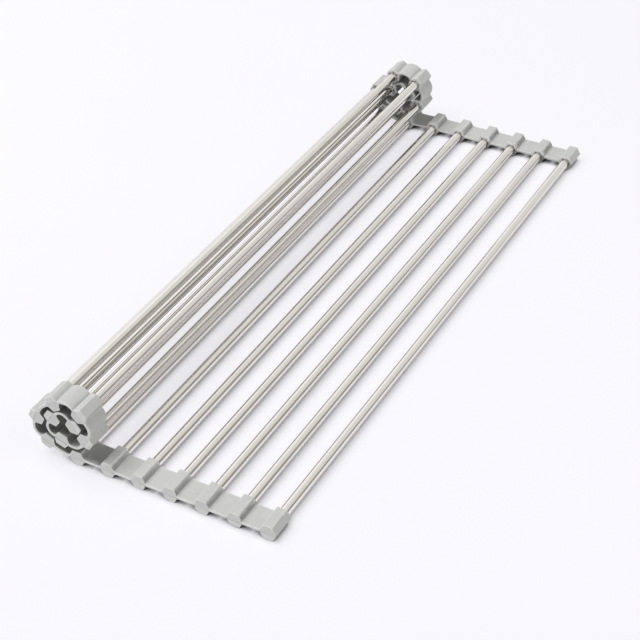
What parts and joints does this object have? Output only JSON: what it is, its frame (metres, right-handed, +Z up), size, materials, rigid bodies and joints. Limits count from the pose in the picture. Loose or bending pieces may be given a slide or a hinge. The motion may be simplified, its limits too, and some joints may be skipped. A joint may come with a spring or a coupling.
{
  "type": "roll-up dish drying rack",
  "caption": "Roll-up dish drying rack: round steel tubes held side by side by two flexible silicone edge strips, half laid flat and half wound up.",
  "frame": {"origin": "bottom centre of the whole rack, on the surface that it lies on", "axes": "+X along the edge strips, towards the free end of the flat half; +Y along the tubes; +Z up"},
  "size_m": [0.1596, 0.42, 0.0458],
  "materials": {
    "steel": "polished stainless steel",
    "silicone": "satin light grey silicone"
  },
  "bodies": {
    "bar_01": {"steel_tube_01": "steel", "near_strip_link_01": "silicone", "far_strip_link_01": "silicone"},
    "bar_02": {"steel_tube_02": "steel", "near_strip_link_02": "silicone", "far_strip_link_02": "silicone"},
    "bar_03": {"steel_tube_03": "steel", "near_strip_link_03": "silicone", "far_strip_link_03": "silicone"},
    "bar_04": {"steel_tube_04": "steel", "near_strip_link_04": "silicone", "far_strip_link_04": "silicone"},
    "bar_05": {"steel_tube_05": "steel", "near_strip_link_05": "silicone", "far_strip_link_05": "silicone"},
    "bar_06": {"steel_tube_06": "steel", "near_strip_link_06": "silicone", "far_strip_link_06": "silicone"},
    "bar_07": {"steel_tube_07": "steel", "near_strip_link_07": "silicone", "far_strip_link_07": "silicone"},
    "bar_08": {"steel_tube_08": "steel", "near_strip_link_08": "silicone", "far_strip_link_08": "silicone"},
    "bar_09": {"steel_tube_09": "steel", "near_strip_link_09": "silicone", "far_strip_link_09": "silicone"},
    "bar_10": {"steel_tube_10": "steel", "near_strip_link_10": "silicone", "far_strip_link_10": "silicone"},
    "bar_11": {"steel_tube_11": "steel", "near_strip_link_11": "silicone", "far_strip_link_11": "silicone"},
    "bar_12": {"steel_tube_12": "steel", "near_strip_link_12": "silicone", "far_strip_link_12": "silicone"},
    "bar_13": {"steel_tube_13": "steel", "near_strip_link_13": "silicone", "far_strip_link_13": "silicone"},
    "bar_14": {"steel_tube_14": "steel", "near_strip_link_14": "silicone", "far_strip_link_14": "silicone"},
    "bar_15": {"steel_tube_15": "steel", "near_strip_link_15": "silicone", "far_strip_link_15": "silicone"}
  },
  "joints": [
    {"name": "bend_06_07", "type": "hinge", "parent": "bar_07", "child": "bar_06", "pos_m": [-0.03926, 0, 0.00475], "axis": [0, -1, 0], "range_deg": [-45, 45]},
    {"name": "bend_05_06", "type": "hinge", "parent": "bar_06", "child": "bar_05", "pos_m": [-0.01856, 0, 0.00475], "axis": [0, -1, 0], "range_deg": [-55, 55]},
    {"name": "bend_04_05", "type": "hinge", "parent": "bar_05", "child": "bar_04", "pos_m": [0.00214, 0, 0.00475], "axis": [0, -1, 0], "range_deg": [-65, 65]},
    {"name": "bend_03_04", "type": "hinge", "parent": "bar_04", "child": "bar_03", "pos_m": [0.02284, 0, 0.00475], "axis": [0, -1, 0], "range_deg": [-75, 75]},
    {"name": "bend_02_03", "type": "hinge", "parent": "bar_03", "child": "bar_02", "pos_m": [0.04354, 0, 0.00475], "axis": [0, -1, 0], "range_deg": [-85, 85]},
    {"name": "bend_01_02", "type": "hinge", "parent": "bar_02", "child": "bar_01", "pos_m": [0.06424, 0, 0.00475], "axis": [0, -1, 0], "range_deg": [-100, 100]},
    {"name": "unwind_07_08", "type": "hinge", "parent": "bar_07", "child": "bar_08", "pos_m": [-0.05996, 0, 0.00516], "axis": [0, -1, 0], "range_deg": [0, 28]},
    {"name": "unwind_08_09", "type": "hinge", "parent": "bar_08", "child": "bar_09", "pos_m": [-0.0778, 0, 0.01571], "axis": [0, -1, 0], "range_deg": [0, 88.5]},
    {"name": "unwind_09_10", "type": "hinge", "parent": "bar_09", "child": "bar_10", "pos_m": [-0.06935, 0, 0.03463], "axis": [0, -1, 0], "range_deg": [0, 32.5]},
    {"name": "unwind_10_11", "type": "hinge", "parent": "bar_10", "child": "bar_11", "pos_m": [-0.05124, 0, 0.04469], "axis": [0, -1, 0], "range_deg": [0, 78]},
    {"name": "unwind_11_12", "type": "hinge", "parent": "bar_11", "child": "bar_12", "pos_m": [-0.03711, 0, 0.02956], "axis": [0, -1, 0], "range_deg": [0, 76.5]},
    {"name": "unwind_12_13", "type": "hinge", "parent": "bar_12", "child": "bar_13", "pos_m": [-0.04852, 0, 0.01229], "axis": [0, -1, 0], "range_deg": [0, 75.5]},
    {"name": "unwind_13_14", "type": "hinge", "parent": "bar_13", "child": "bar_14", "pos_m": [-0.06791, 0, 0.01954], "axis": [0, -1, 0], "range_deg": [0, 107.5]},
    {"name": "unwind_14_15", "type": "hinge", "parent": "bar_14", "child": "bar_15", "pos_m": [-0.05554, 0, 0.03614], "axis": [0, -1, 0], "range_deg": [0, 111.5]}
  ],
  "couplings": [
    {"joint": "unwind_07_08", "follows": "unwind_08_09", "ratio": 0.31638},
    {"joint": "unwind_09_10", "follows": "unwind_08_09", "ratio": 0.36723},
    {"joint": "unwind_10_11", "follows": "unwind_08_09", "ratio": 0.88135},
    {"joint": "unwind_11_12", "follows": "unwind_08_09", "ratio": 0.8644},
    {"joint": "unwind_12_13", "follows": "unwind_08_09", "ratio": 0.8531},
    {"joint": "unwind_13_14", "follows": "unwind_08_09", "ratio": 1.2147},
    {"joint": "unwind_14_15", "follows": "unwind_08_09", "ratio": 1.2599}
  ]
}
